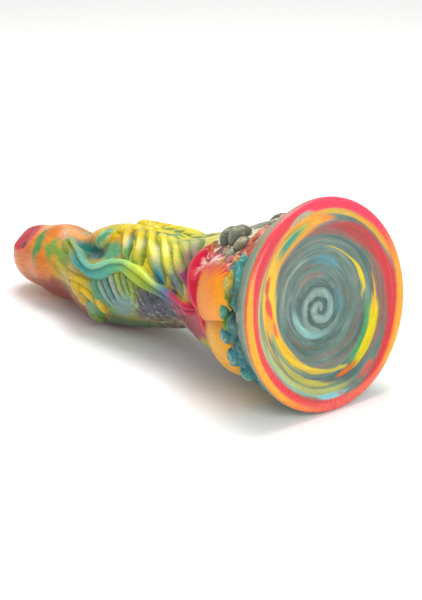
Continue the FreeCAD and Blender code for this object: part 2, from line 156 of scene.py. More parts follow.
# ------------------------------------------------------------
# The shaft's skin: tip, shoulder, waist, belly, neck and bulb. Solid cast silicone poured in one
# go from many pigments, so the six zones share one surface and one flow of colour. Each zone is a
# slice of a tube lofted through the rings below and closed by flat ends inside the casting.
# station, radius and upward lift of each ring, millimetres
RINGS = np.array([
    (22, 36.6, -0.8), (34, 34.4, -1.6), (47, 30.8, -2.0), (58, 27.6, -1.8), (71, 23.2, -0.6),
    (84, 19.8, 0.2), (95, 21.4, 0.2), (111, 22.6, -0.4), (129, 23.4, -1.0), (144, 23.0, -2.0),
    (152, 21.0, -2.5), (162, 17.3, -2.2), (172, 17.1, -0.6), (182, 17.5, 0.5), (190, 15.9, 1.2),
    (202, 14.6, 1.6), (211, 14.2, 2.0), (215, 14.0, 2.2)])
TIP_START, TIP_END = 190.0, 213.8
# the stations where one zone ends and the next begins
ZONES = {"tip": (190, 213.8), "shoulder": (172, 190), "waist": (152, 172), "belly": (95, 152),
         "neck": (58, 95), "bulb": (22, 58)}
# The pigments as they pooled: colour, station, angle, half length, half angle, and lean, the
# degrees that the pool slides round for each millimetre along. Later pools lie over earlier ones.
POOLS = (
    # The pools underneath, #6d5a52 and #8a3a1c at angle 180, #7d2e1a at -124 and #3f5a30 at -146, are
    # their own colours made darker with painted shade where the underside lies in shadow.
    ("#6d5a52", 80, 180, 40, 62, 0), ("#8a3a1c", 160, 180, 44, 75, 0),
    ("#dd873c", 196, -80, 30, 120, 0), ("#d0793a", 188, -86, 17, 32, 0),
    ("#eaa878", 176, 0, 26, 32, 0), ("#e38f70", 208, 0, 14, 60, 0), ("#d8604e", 209, -40, 6, 80, 0),
    ("#cf7636", 178, -24, 6, 22, 2.0), ("#4f8a43", 184, -48, 3.6, 30, 3.4),
    ("#6a9848", 174, -50, 3, 22, 2.6), ("#d6843c", 178, -40, 2.2, 16, 2.6),
    ("#e0a060", 158, -6, 18, 26, 0), ("#e3954c", 150, -20, 12, 12, 0),
    ("#7f9a45", 163, -56, 14, 12, 0.5), ("#a8983a", 150, -74, 20, 12, 0),
    ("#3a8f8a", 157, -29, 16, 13, 0.8), ("#8a6a30", 150, -100, 22, 12, 0),
    ("#7d2e1a", 170, -124, 30, 26, 0), ("#d8c936", 98, 0, 40, 62, 0), ("#cfc63c", 70, 0, 18, 40, 0),
    ("#9aa870", 67, -36, 9, 14, 1.2), ("#6f9a4c", 78, -12, 10, 5, -1.0),
    ("#7fa052", 96, -6, 8, 4, -1.4), ("#c8982c", 119, -32, 9, 24, 0),
    # The dark teal pool at station 140, angle -46 lies in the hollow behind the horn: teal pigment
    # darkened with painted shade.
    ("#5f9a70", 123, -46, 7, 12, 0), ("#175a64", 140, -46, 14, 12, 0.5),
    ("#2f8a88", 154, -36, 8, 7, 0.8), ("#5fa068", 111, -40, 2.0, 24, 2.2),
    ("#7a9a3c", 104, -62, 3, 12, 2.0), ("#3a6c80", 86, -74, 4, 9, 1.0),
    ("#4a3048", 74, -74, 5, 9, 1.0), ("#9c2c54", 63, -60, 4, 14, 0),
    ("#7f9350", 116, -96, 16, 24, 0), ("#70908a", 114, -104, 10, 22, -0.6),
    ("#8aa24c", 104, -98, 4, 20, -0.8), ("#50525c", 88, -110, 20, 22, -0.5),
    ("#3c4048", 94, -100, 9, 10, 0), ("#75505e", 68, -112, 12, 14, 0),
    ("#8c2338", 56, -106, 20, 14, 0), ("#3f9080", 130, -96, 5, 11, 0),
    ("#6a8a50", 122, -118, 6, 12, 0), ("#b39a34", 128, -122, 5, 14, 0),
    ("#3f5a30", 120, -146, 24, 20, 0), ("#8d8a74", 38, 0, 18, 44, 0),
    ("#c9283f", 50, -68, 12, 34, 0), ("#d8405c", 43, -48, 10, 9, 0),
    ("#9c2238", 44, -100, 14, 9, 0), ("#c8902c", 30, -120, 12, 36, 0),
    ("#b9a23a", 22, -80, 5, 20, 0))


def ease(x, knots, values):
    """A smooth curve through the knots: cubic Hermite spans whose slope at each knot is the mean
    slope of its two sides. Values may be numbers or rows such as colours."""
    knots, values = np.asarray(knots, float), np.asarray(values, float)
    slopes = np.gradient(values, knots, axis=0)
    x = np.clip(np.asarray(x, float), knots[0], knots[-1])
    i = np.clip(np.searchsorted(knots, x, side="right") - 1, 0, len(knots) - 2)
    h = knots[i + 1] - knots[i]
    t = (x - knots[i]) / h
    if values.ndim > 1:
        h, t = h[..., None], t[..., None]
    return ((1 + 2 * t) * (1 - t) ** 2 * values[i] + t * (1 - t) ** 2 * h * slopes[i]
            + t * t * (3 - 2 * t) * values[i + 1] + t * t * (t - 1) * h * slopes[i + 1])


def step(low, high, x):
    """0 below low, 1 above high, and 3t^2-2t^3 between them; low may be the larger one."""
    t = np.clip((x - low) / (high - low), 0, 1)
    return t * t * (3 - 2 * t)


def blend_in(colour, over, weight):
    """colour with over laid on it: each of red, green and blue goes weight of the way across."""
    return colour + (over - colour) * np.asarray(weight)[..., None]


def churn(points, grain, seed, layers=3):
    """Seeded smooth noise from about -1 to 1: random numbers at the corners of cubes with sides of
    grain, blended across each cube, and further layers half as large and half as strong."""
    total = 0
    for layer in range(layers):
        lattice = np.random.default_rng(seed * 10 + layer).uniform(-1, 1, (24, 24, 24))
        q = points * 2 ** layer / grain + 100
        corner = np.floor(q).astype(int)
        f = q - corner
        f = f * f * (3 - 2 * f)
        for way in itertools.product((0, 1), repeat=3):
            share = np.prod(np.where(np.array(way) == 1, f, 1 - f), axis=-1)
            i, j, k = np.moveaxis((corner + way) % 24, -1, 0)
            total = total + lattice[i, j, k] * share / 2 ** layer
    return total


def skin_radius(s):
    """The ring curve, times (1-t^4)^0.5 over the tip, where t goes from 0 to 1 along it."""
    t = np.clip((s - TIP_START) / (TIP_END - TIP_START), 0, 1)
    return ease(s, RINGS[:, 0], RINGS[:, 1]) * np.sqrt(1 - t ** 4)


def skin(s, angle, rise=0.0):
    """The skin point at a station and an angle, raised along its radius, in metres."""
    r, turn = skin_radius(s) + rise, np.radians(angle)
    return place(s, ease(s, RINGS[:, 0], RINGS[:, 2]) + r * np.cos(turn), r * np.sin(turn))


MM_PER_DEGREE = 0.37        # round the skin, at its usual radius


def course_at(t, course):
    """Station and angle at a share t of the way along a smooth course through its points."""
    course = np.array(course, float)
    steps = np.diff(course, axis=0) * (1, MM_PER_DEGREE)
    run = np.concatenate([[0], np.cumsum(np.hypot(steps[:, 0], steps[:, 1]))])
    found = ease(t, run / run[-1], course)
    return found[..., 0], found[..., 1]


def trough(s, angle, course, half_width, depth):
    """How far a trough along a course sinks the skin: depth times a bell across its width, less
    towards its two ends. Distances are taken to points sampled every millimetre or so."""
    t = np.linspace(0, 1, 60)
    cs, ca = course_at(t, course)
    scale = np.radians(1) * skin_radius(cs)
    gap = np.full(np.shape(s), 1e9)
    way = np.zeros(np.shape(s))
    for share, at_s, at_a, mm in zip(t, cs, ca, scale):
        near = np.hypot(s - at_s, (angle - at_a) * mm)
        way = np.where(near < gap, share, way)
        gap = np.minimum(near, gap)
    return depth * np.sin(np.pi * np.clip(way, 0.04, 0.96)) ** 0.7 * step(half_width, 0, gap)


HOLLOW = ((170, -14), (161, -24), (152, -34), (144, -42), (135, -48), (125, -47))
CREASE_UNDER_LOBES = ((18, -91), (30, -91), (42, -90), (50, -88))


def thumb_print(s, angle):
    """How far out from the middle of the oval thumb-print in the tip, 1 at its edge."""
    return np.hypot((s - 201.5) / 10.0, (angle + 36) / 32)


def skin_relief(s, angle):
    """How far the bare skin departs from its loft: the hollow behind each horn, the thumb-print in
    the tip, the crease between the lobes, and a slow unevenness of the hand-made master."""
    side = -np.abs(angle)
    sunk = trough(s, side, HOLLOW, 9.0, 7.0) + trough(s, side, CREASE_UNDER_LOBES, 4.5, 3.0)
    oval = thumb_print(s, angle)
    sunk = sunk + 0.8 * step(1.0, 0.35, oval) - 0.4 * step(0.35, 0, np.abs(oval - 1.1))
    points = skin(s, angle) * 1000
    grit = step(0, 0.5, step(110, 96, s) * step(58, 68, s) * step(-90, -97, side))
    return 0.3 * churn(points, 11, 3, 2) + 0.22 * grit * churn(points, 1.8, 5, 2) - sunk


def skin_pigment(s, angle):
    """The colour of the pour at a station and an angle: the pools laid over each other with soft
    edges, their outlines stirred by noise a few millimetres across, and fine streaks along."""
    points = skin(s, angle) * 1000
    stir = churn(points, 8, 11, 4), churn(points, 8, 12, 4)
    far = step(0, 60, angle)
    s_stirred = s + 3.0 * stir[0] + 5 * far
    side = -np.abs(angle) + 6.5 * stir[1]
    colour = linear("#b3a83a")
    for hexed, at_s, at_a, half_s, half_a, lean in POOLS:
        ds = s_stirred - at_s
        da = (side - at_a - lean * ds + 180) % 360 - 180
        reach = np.hypot(ds / half_s, da / half_a)
        colour = blend_in(colour, linear(hexed), step(1.38, 0.5, reach))
    # The pale ring over the thumb-print's raised rim is painted highlight; the crimson inside it is
    # the pour's own colour.
    oval = thumb_print(s + 0.5 * stir[0], angle)
    colour = blend_in(colour, linear("#e0705c"), 0.8 * step(1.35, 1.05, oval))
    colour = blend_in(colour, linear("#bd2234"), step(1.1, 0.92, oval))
    # A dark spot at the thumb-print's lower near edge: painted shade inside the hollow.
    spot = np.hypot((s - 196.5) / 2.2, (angle + 57) / 8)
    colour = blend_in(colour, linear("#5c1420"), step(1.3, 0.6, spot))
    silver = step(18, 26, s) * step(60, 50, s) * step(-64, -46, side + 8 * stir[1])
    streak = churn(np.stack([s_stirred * 0.5, side * 1.1, 0 * s], -1), 3.0, 21)
    colour = blend_in(colour, linear("#e4dcc8"), 0.95 * silver * step(0.1, 0.4, streak))
    colour = blend_in(colour, linear("#46423c"), 0.85 * silver * step(-0.2, -0.6, streak))
    grit = step(112, 96, s) * step(56, 70, s) * step(-86, -97, side)
    speck = churn(points, 1.3, 22, 2)
    colour = colour * (1 + 0.75 * grit * speck)[..., None]
    colour = blend_in(colour, linear("#b9bcc0"), 0.6 * grit * step(0.55, 0.9, speck))
    return np.clip(colour * (1 + 0.15 * streak[..., None]), 0, 1)


def assemble(name, lofts, material):
    """One mesh from one or more closed lofts. A loft is (rings, colours, kind): rings of points
    (n, k, 3) whose k closes on itself. kind "capped" closes both ends by a fan to their middle,
    "loop" joins the last ring to the first, and "slice" is capped with its first and last ring
    dropped once they have given the normals of their neighbours. Normals are the cross product
    of the differences along and round, and all faces are turned over if the volume is negative."""
    points, shades, normals, faces, first = [], [], [], [], 0
    for rings, colours, kind in lofts:
        loop = kind == "loop"
        along = np.roll(rings, -1, 0) - np.roll(rings, 1, 0) if loop else np.gradient(rings, axis=0)
        n = np.cross(along, np.roll(rings, -1, 1) - np.roll(rings, 1, 1))
        n /= np.linalg.norm(n, axis=-1, keepdims=True) + 1e-12
        if kind == "slice":
            rings, colours, n = rings[1:-1], colours[1:-1], n[1:-1]
        count, around = rings.shape[:2]
        index = np.arange(count * around).reshape(count, around)
        turns = np.arange(count if loop else count - 1)
        a, b = index[turns], index[(turns + 1) % count]
        quads = np.stack([a, np.roll(a, -1, 1), np.roll(b, -1, 1), b], -1).reshape(-1, 4)
        p = rings.reshape(-1, 3)
        shade, n = np.broadcast_to(colours, rings.shape).reshape(-1, 3), n.reshape(-1, 3)
        fans = np.zeros((0, 3), int)
        if not loop:
            middle = np.array([rings[0].mean(0), rings[-1].mean(0)])
            push = middle - np.array([rings[1].mean(0), rings[-2].mean(0)])
            push /= np.linalg.norm(push, axis=1, keepdims=True) + 1e-12
            fans = np.concatenate([
                np.stack([np.full(around, len(p)), np.roll(index[0], -1), index[0]], -1),
                np.stack([np.full(around, len(p) + 1), index[-1], np.roll(index[-1], -1)], -1)])
            p, n = np.concatenate([p, middle]), np.concatenate([n, push])
            shade = np.concatenate([shade, shade[[0, -1]]])
        corners = np.concatenate([quads[:, [0, 1, 2]], quads[:, [0, 2, 3]], fans])
        q = p[corners] - p.mean(0)
        if np.einsum("ij,ij->i", q[:, 0], np.cross(q[:, 1], q[:, 2])).sum() < 0:
            quads, fans = quads[:, ::-1], fans[:, ::-1]
        tri = p[quads[:, :3]]
        facing = np.cross(tri[:, 1] - tri[:, 0], tri[:, 2] - tri[:, 0])
        if np.einsum("ij,ij->i", facing, n[quads[:, 0]]).sum() < 0:
            n[:count * around] *= -1
        points.append(p), shades.append(shade), normals.append(n)
        faces += (quads + first).tolist() + (fans + first).tolist()
        first += len(p)
    mesh = bpy.data.meshes.new(name)
    mesh.from_pydata(np.concatenate(points).tolist(), [], faces)
    mesh.polygons.foreach_set("use_smooth", np.ones(len(faces), bool))
    pigment = mesh.color_attributes.new("pigment", "FLOAT_COLOR", "POINT")
    rgba = np.concatenate([np.concatenate(shades), np.ones((first, 1))], 1)
    pigment.data.foreach_set("color", rgba.astype(np.float32).ravel())
    mesh.validate()
    mesh.normals_split_custom_set_from_vertices(np.concatenate(normals).tolist())
    mesh.materials.append(material)
    made = bpy.data.objects.new(name, mesh)
    bpy.context.collection.objects.link(made)
    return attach(made, "root")


def cast_silicone(name, roughness=0.34, vein=3.0, vein_strength=0.18, grain=0.35, relief=0.05,
                  coat=0.15, glow=0.12):
    """Platinum-cured silicone, cast in a mould: pigment through the whole thickness, so its colour
    comes from the piece's own pigment attribute, broken by veins of a given width in mm; a satin
    face with a faint mould grain; light enters a fraction of a millimetre and softens the edges."""
    made = bpy.data.materials.new(name)
    made.use_nodes = True
    tree = made.node_tree
    shader = tree.nodes["Principled BSDF"]
    shader.inputs["IOR"].default_value = 1.41
    shader.inputs["Subsurface Weight"].default_value = glow
    shader.inputs["Subsurface Radius"].default_value = (1.0, 0.5, 0.35)
    shader.inputs["Subsurface Scale"].default_value = 0.0012
    shader.inputs["Coat Weight"].default_value = coat
    shader.inputs["Coat Roughness"].default_value = 0.22
    where = add_node(tree, "ShaderNodeTexCoord").outputs["Object"]
    pour = add_node(tree, "ShaderNodeAttribute", {"attribute_name": "pigment"}).outputs["Color"]
    veins = add_node(tree, "ShaderNodeTexNoise", {
        "Scale": 1000 / vein, "Detail": 4.0, "Distortion": 1.6, "Roughness": 0.6}, Vector=where)
    tone = add_node(tree, "ShaderNodeMapRange", {
        "From Min": 0.3, "From Max": 0.7, "To Min": 1 - vein_strength, "To Max": 1 + vein_strength},
        Value=veins.outputs["Fac"])
    mixed = add_node(tree, "ShaderNodeVectorMath", {"operation": "SCALE"},
                     Vector=pour, Scale=tone.outputs["Result"])
    deep = add_node(tree, "ShaderNodeHueSaturation", {"Saturation": 1.05, "Value": 0.94},
                    Color=mixed.outputs["Vector"])
    tree.links.new(deep.outputs["Color"], shader.inputs["Base Color"])
    shader.inputs["Specular IOR Level"].default_value = 0.4
    patchy = add_node(tree, "ShaderNodeMapRange", {
        "From Min": 0.3, "From Max": 0.7, "To Min": roughness - 0.05, "To Max": roughness + 0.07},
        Value=veins.outputs["Fac"])
    tree.links.new(patchy.outputs["Result"], shader.inputs["Roughness"])
    skin_grain = add_node(tree, "ShaderNodeTexNoise", {
        "Scale": 1000 / grain, "Detail": 2.0}, Vector=where)
    bump = add_node(tree, "ShaderNodeBump", {"Strength": 0.35, "Distance": relief / 1000},
                    Height=skin_grain.outputs["Fac"])
    tree.links.new(bump.outputs["Normal"], shader.inputs["Normal"])
    return made


SKIN_PITCH = 0.45          # mesh size along the skin, millimetres
SKIN_TURNS = 300           # points round each ring
# smooth and softly glossy: broad, blurred highlights over the marbling, hardly veined
gloss_pour = cast_silicone("gloss_marbled_silicone", vein_strength=0.09)
for zone, (begin, end) in ZONES.items():
    count = int((end - begin) / SKIN_PITCH)
    if zone == "tip":      # closer rings towards the pole, where the radius changes fast
        stations = begin + (end - 0.02 - begin) * np.sin(np.linspace(0, np.pi / 2, count + 40))
        stations = np.concatenate([[begin - SKIN_PITCH], stations, [end - 0.005]])
    else:
        pitch = (end - begin) / count
        stations = begin + pitch * np.arange(-1, count + 2)
    S, A = np.meshgrid(stations, np.linspace(-180, 180, SKIN_TURNS, endpoint=False), indexing="ij")
    made = assemble(zone, [(skin(S, A, skin_relief(S, A)), skin_pigment(S, A), "slice")], gloss_pour)
    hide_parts(zone)

# ------------------------------------------------------------
# The rib fans: soft cast folds that fan from the top of the belly down to the tendril, one fan
# each side. Each rib is a low rounded ridge, bedded in the skin along both edges and run out to
# nothing at its ends; yellow on its crest, green in its valleys, which are also darkened with
# painted shade, blue and plum at its foot.
# the colours of each rib's crest at its top, middle and foot, then its course down from the top
RIBS = ((("#d9c63c", "#cdb838", "#7f9a4c"),
         ((125, -5), (120, -16), (115, -33), (111, -47), (108, -60))),
        (("#d9cc3c", "#d3b634", "#9aa23c"),
         ((119, -5), (112, -15), (105.5, -33), (101, -54), (97, -71))),
        (("#ddd040", "#d8c83c", "#4c8a90"),
         ((113, -5), (105, -14), (97, -34), (90, -51), (84, -70), (80, -87))),
        (("#ddd040", "#cfcf54", "#345f80"),
         ((106, -5), (94, -20), (87, -39), (77, -60), (66, -74), (59, -84))),
        (("#d6cc40", "#c9c95c", "#7c4c68"), ((99, -5), (87, -21), (76, -46), (63, -64), (56, -77))),
        (("#d3cb44", "#b7bc64", "#7c3058"), ((92, -5), (81, -19), (70, -38), (61, -57))),
        (("#cfc848", "#a9b070", "#8c5a6c"), ((84, -5), (75, -16), (66, -32), (59, -48))))
RIB_HALF_WIDTH, RIB_RISE = 5.0, 2.5


def rounded(v):
    """Across a plain round cord: (1-v^2)^1.25."""
    return (1 - np.abs(v) ** 2.0) ** 1.25


EDGE_SUNK = 0.3            # how far a cord's edges lie below the skin, millimetres


def strand(course, half_width, rise, colour_at, across=15, profile=rounded, side=1,
           ends=(0.12, 0.12)):
    """A ridge laid on the skin along a course: at each step a row of points across it, raised by
    rise times the profile and sunk at both edges, and closed by two points deep in the skin.
    It narrows and sinks over the end shares. side -1 mirrors it to the far side. colour_at takes
    the share along, the place across from -1 to 1 and the skin's own colour."""
    t = np.linspace(0, 1, 200)
    cs, ca = course_at(t, course)
    mm = np.radians(1) * skin_radius(cs)
    run = np.concatenate([[0], np.cumsum(np.hypot(np.diff(cs), np.diff(ca) * mm[1:]))])
    count = max(8, int(run[-1] / SKIN_PITCH))
    t = np.interp(np.linspace(0, run[-1], count), run, t)
    cs, ca = course_at(t, course)
    way = np.linspace(0, 1, count)
    mm = np.radians(1) * skin_radius(cs)
    ds, da = np.gradient(cs), np.gradient(ca) * mm
    length = np.hypot(ds, da)
    fade = step(0, ends[0], way) * step(1, 1 - ends[1], way)
    v = np.linspace(-1, 1, across)
    wobble = 1 + 0.16 * np.sin(way * run[-1] / 4.1 + course[0][1] + course[0][0])
    wide = (half_width * (0.35 + 0.65 * fade) * wobble)[:, None] * v
    S = cs[:, None] - wide * (da / length)[:, None]
    A = ca[:, None] + wide * (ds / length / mm)[:, None]
    shape = fade[:, None] * profile(v)
    relief = skin_relief(S, side * A)
    crown, foot = rise + np.maximum(relief, -0.8), relief - EDGE_SUNK
    top = skin(S, side * A, shape * crown + (1 - shape) * foot)
    deep = skin(S[:, [-1, 0]], side * A[:, [-1, 0]], relief[:, [-1, 0]] - 2.5)
    colours = colour_at(np.broadcast_to(way[:, None], S.shape), np.broadcast_to(v, S.shape),
                        skin_pigment(S, side * A))
    colours = np.concatenate([colours, colours[:, [-1, 0]]], 1)
    return np.concatenate([top, deep], 1), colours, "capped"


def crest(v):
    """Across a rib, like a fold of cloth: up gently from v=-1 to a crest at v=0.3, then down
    steeply, each flank a power of the share left to its foot."""
    return np.where(v < 0.3, np.clip((1 + v) / 1.3, 0, 1) ** 1.5, np.clip((1 - v) / 0.7, 0, 1) ** 1.2)


def rib_colours(crest_hexes):
    """A colouring for one rib: its crest colours along it, greener in its valleys and darker there
    with painted shade.
    """
    def colour_at(way, across, base):
        top = ease(way, (0, 0.4, 0.52, 0.72, 1), linear([crest_hexes[i] for i in (0, 1, 1, 2, 2)]))
        # the valleys: a greener tint, and half as bright as painted shade in the creases
        shaded_valley = base * linear("#b4d8a4") * 0.5
        own = blend_in(blend_in(top, base, 0.35), shaded_valley, step(0.3, 0.75, np.abs(across - 0.3)))
        return blend_in(own, base, step(0.85, 1, np.abs(across)))
    return colour_at


# a little glossier than the skin, so that each crest catches a thin pale line
satin_ribs = cast_silicone("pearly_yellow_silicone", roughness=0.3, vein=2.2, coat=0.3)
for hand, side in (("near", 1), ("far", -1)):
    ribs = [strand(course, RIB_HALF_WIDTH, RIB_RISE, rib_colours(hexes), across=25, profile=crest,
                   side=side, ends=(0.22, 0.28)) for hexes, course in RIBS]
    made = assemble("rib_fan_" + hand, ribs, satin_ribs)
    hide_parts("rib_fan_" + hand)

# ------------------------------------------------------------
# The fold fans: nine slack grey-green pleats hanging under each tendril, cast with the belly.
# They are narrower and lower than the ribs, and melt into the skin halfway down.
# the colours along the row of folds from the waist to the throat, and where each one starts
FOLD_PIGMENTS = ["#4f9080", "#8aa89a", "#5f8a84", "#9fb0a0", "#a3b04c", "#7f9a50", "#8f9c48",
                 "#6f7a60", "#5c6068"]
FOLD_TOPS = ((130, -79), (126, -80), (122, -77), (118, -73), (114, -70), (109.5, -70),
             (105, -73), (100.5, -78), (96, -83))
FOLD_HALF_WIDTH, FOLD_RISE = 2.7, 1.5


def fold_colours(hexed):
    """A colouring for one fold: its own colour, darkened with painted shade in the valleys, giving way
    to the skin's.
    """
    def colour_at(way, across, base):
        own = blend_in(linear(hexed), base, 0.3 + 0.5 * step(0.4, 1, way))
        # painted shade: each fold darker down in its valleys
        own = blend_in(own, own * 0.35, step(0.3, 0.85, np.abs(across - 0.3)))
        return blend_in(own, base, step(0.85, 1, np.abs(across)))
    return colour_at


# satin, with strong fine veins that read as brushed grey-green cloth
satin_folds = cast_silicone("satin_slate_silicone", roughness=0.36, vein=2.0, vein_strength=0.25,
                            relief=0.08)
for hand, side in (("near", 1), ("far", -1)):
    folds = []
    for number, (hexed, (s, a)) in enumerate(zip(FOLD_PIGMENTS, FOLD_TOPS)):
        reach = 1 - 0.05 * number
        course = ((s, a), (s - 3.5 * reach, a - 14), (s - 7 * reach, a - 30),
                  (s - 10 * reach, a - 46 * reach))
        folds.append(strand(course, FOLD_HALF_WIDTH, FOLD_RISE, fold_colours(hexed), across=19,
                            profile=crest, side=side, ends=(0.1, 0.55)))
    made = assemble("fold_fan_" + hand, folds, satin_folds)
    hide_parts("fold_fan_" + hand)

# ------------------------------------------------------------
# The tendrils: one long raised strand each side, cast with the skin, from the waist over the edge
# of the hollow and down to the throat. A narrow upper cord and a wider lower one share a groove.
TENDRIL = ((172, -26), (166, -33), (156, -45), (146, -57.5), (138, -68), (131, -73.5), (124, -72),
           (117, -65.5), (110, -64), (103, -69), (95, -77), (87, -86), (79, -91.5), (70, -92),
           (60, -91), (50, -90))
TENDRIL_HALF_WIDTH, TENDRIL_RISE = 3.8, 3.1


def two_cords(v):
    """Across the tendril: a lower cord 0.7 wide and 0.82 high about v=0.3 and a narrow upper one
    about v=-0.5, over a shallow ellipse 0.68 high, the highest of the three at each place."""
    low = 0.82 * np.clip(1 - ((v - 0.3) / 0.7) ** 2, 0, 1) ** 0.9
    high = np.clip(1 - ((v + 0.5) / 0.5) ** 2, 0, 1) ** 0.8
    web = 0.68 * np.clip(1 - v ** 2, 0, 1) ** 0.5
    return np.maximum(np.maximum(low, high), web)


def tendril_colours(way, across, base):
    """Along: olive, teal, pale green, lime, blue, magenta, crimson. The upper cord is paler, partly
    painted light where it faces up, and the groove between the cords is darkened with painted shade.
    """
    stops = (0, 0.12, 0.25, 0.4, 0.5, 0.6, 0.68, 0.76, 0.82, 0.9, 1)
    upper = ease(way, stops, linear(["#7d9a48", "#8fae50", "#5fa088", "#7fc0a0", "#96cf8c", "#b9cf4c",
                                     "#a9bf50", "#5a7c9c", "#a04468", "#c03250", "#b82a40"]))
    lower = ease(way, stops, linear(["#7f8c3a", "#8d9a3e", "#3f8c80", "#4f9a8c", "#62a878", "#a3b83c",
                                     "#7f9a4c", "#4c5f80", "#7c3258", "#a82a48", "#9c2638"]))
    # the upper cord takes the paler row of colours: its own pigment, lightened in part as painted
    # light where it faces up
    own = blend_in(lower, upper, step(0.0, -0.35, across))
    # painted shade: the groove between the two cords darkened
    own = blend_in(own, own * 0.7, step(0.2, 0.02, np.abs(across + 0.12)))
    return blend_in(own, base, step(0.8, 1, np.abs(across)))


# smooth from the mould, with a soft highlight along each cord
gloss_tendril = cast_silicone("gloss_green_silicone", roughness=0.32, vein=1.8)
for hand, side in (("near", 1), ("far", -1)):
    whip = strand(TENDRIL, TENDRIL_HALF_WIDTH, TENDRIL_RISE, tendril_colours, across=29,
                  profile=two_cords, side=side, ends=(0.06, 0.08))
    made = assemble("tendril_" + hand, [whip], gloss_tendril)
    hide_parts("tendril_" + hand)

# ------------------------------------------------------------
# The braids: two thin cast strands that twine under each tendril from the waist to the belly,
# swelling and thinning where they cross. Mustard and gold, going to teal where they dip.
BRAIDS = (((170, -66), (161, -76), (152, -80), (143, -83), (135, -87), (129, -95), (127, -108),
           (126, -124)),
          ((156, -84), (148, -90), (141, -92), (136, -97), (132, -106), (131, -120), (133, -134)))
# colour, station, angle, half length, half width, rise and turn of each swelling along them
BEADS = (
    ("#b8a038", 150, -84, 6.5, 3.8, 2.0, 0.5), ("#c9a934", 142, -93, 6.5, 4.6, 3.0, 0.9),
    ("#bf9a30", 138, -104, 5.6, 4.6, 3.0, 1.2), ("#4f9078", 134.5, -115, 5.8, 4.8, 3.0, 1.3),
    ("#5c8a48", 137, -130, 6.5, 5.0, 2.6, 1.4), ("#d2ac34", 127.5, -112, 6.5, 3.4, 2.2, 1.5))
BRAID_HALF_WIDTH, BRAID_RISE = 2.8, 1.8


WRINKLE_PITCH = 1.4         # from one wrinkle on a swelling to the next, millimetres


def dome(station, angle, half_length, half_width, rise, colour_at, side=1, rings=40, around=96,
         fullness=0.6, square=2.0, sunk=0.8, twist=0.0, wrinkle=0.0, rough=0.0, seed=0):
    """A swelling bedded in the skin: rings run in from an oval edge, sunk below the skin, to the
    middle. Height is rise*(1-q^2)^fullness at the share q of the way out; wrinkles add a sine of
    the distance in from the edge, and rough adds noise. square above 2 makes the oval squarer."""
    q = 1 - np.linspace(0, 1, rings) ** 1.15 * 0.985
    turn = np.linspace(0, 2 * np.pi, around, endpoint=False)
    Q, F = np.meshgrid(q, turn, indexing="ij")
    c, d = np.cos(F), np.sin(F)
    spread = (np.abs(c) ** square + np.abs(d) ** square) ** (-1 / square)
    x, y = Q * spread * c * half_length, Q * spread * d * half_width
    x, y = x * np.cos(twist) - y * np.sin(twist), x * np.sin(twist) + y * np.cos(twist)
    S = station + x
    A = angle + np.degrees(y / skin_radius(np.clip(S, 12, 214)))
    shape = np.clip(1 - Q ** 2, 0, 1) ** fullness
    waves = np.sin(2 * np.pi * (1 - Q) * half_length / WRINKLE_PITCH)
    lift = rise * shape - sunk * (1 - shape) + wrinkle * waves * step(0, 0.3, shape)
    if rough:
        lift = lift + rough * churn(skin(S, side * A) * 1000, 4.0, 40 + seed, 3) * step(0, 0.4, shape)
    points = skin(S, side * A, lift)
    return points, colour_at(Q, F, skin_pigment(S, side * A)), "capped"


def bead_colours(hexed):
    """A colouring for one swelling: its own colour, darker towards its edge as painted shade on its
    rounded flank.
    """
    def colour_at(q, turn, base):
        # painted shade: half as bright towards the swelling's edge
        own = blend_in(linear(hexed), linear(hexed) * 0.5, step(0.4, 0.95, q))
        return blend_in(own, base, 0.25 + 0.75 * step(0.8, 1, q))
    return colour_at


def braid_colours(way, across, base):
    """Olive gold, then mustard, then teal green; darker towards both edges with painted shade on the
    strand's rounded flanks.
    """
    own = ease(way, (0, 0.35, 0.6, 0.8, 1),
               linear(["#a59a3c", "#b9a23a", "#cfae34", "#5c9060", "#6c8a40"]))
    # painted shade: half as bright towards the edges
    own = blend_in(own, own * 0.5, step(0.5, 1, np.abs(across)))
    return blend_in(own, base, step(0.85, 1, np.abs(across)))


# smooth and finely veined, so that the swellings look wet where they catch the light
gloss_braid = cast_silicone("gloss_mustard_silicone", roughness=0.32, vein=1.6)
for hand, side in (("near", 1), ("far", -1)):
    braids = [strand(c, BRAID_HALF_WIDTH, BRAID_RISE, braid_colours, side=side) for c in BRAIDS]
    braids += [dome(s, a, length, width, rise, bead_colours(hexed), side, rings=22, around=48,
                    twist=turn)
               for hexed, s, a, length, width, rise, turn in BEADS]
    made = assemble("braid_" + hand, braids, gloss_braid)
    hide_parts("braid_" + hand)

# ------------------------------------------------------------
# The throat ridge: a thick rounded fold right round the casting where the bulb meets the neck,
# highest on the two sides and running back under the lobes. Crimson, paler on its crest.
RIDGE_STATIONS = (
    (-180, 42), (-135, 40), (-105, 42), (-91, 45), (-80, 50.5), (-69, 55), (-59, 57.5), (-50, 58.5),
    (-41, 57.5), (-30, 54), (0, 51))
RIDGE_HALF_WIDTH, RIDGE_RISE = 5.4, 2.3


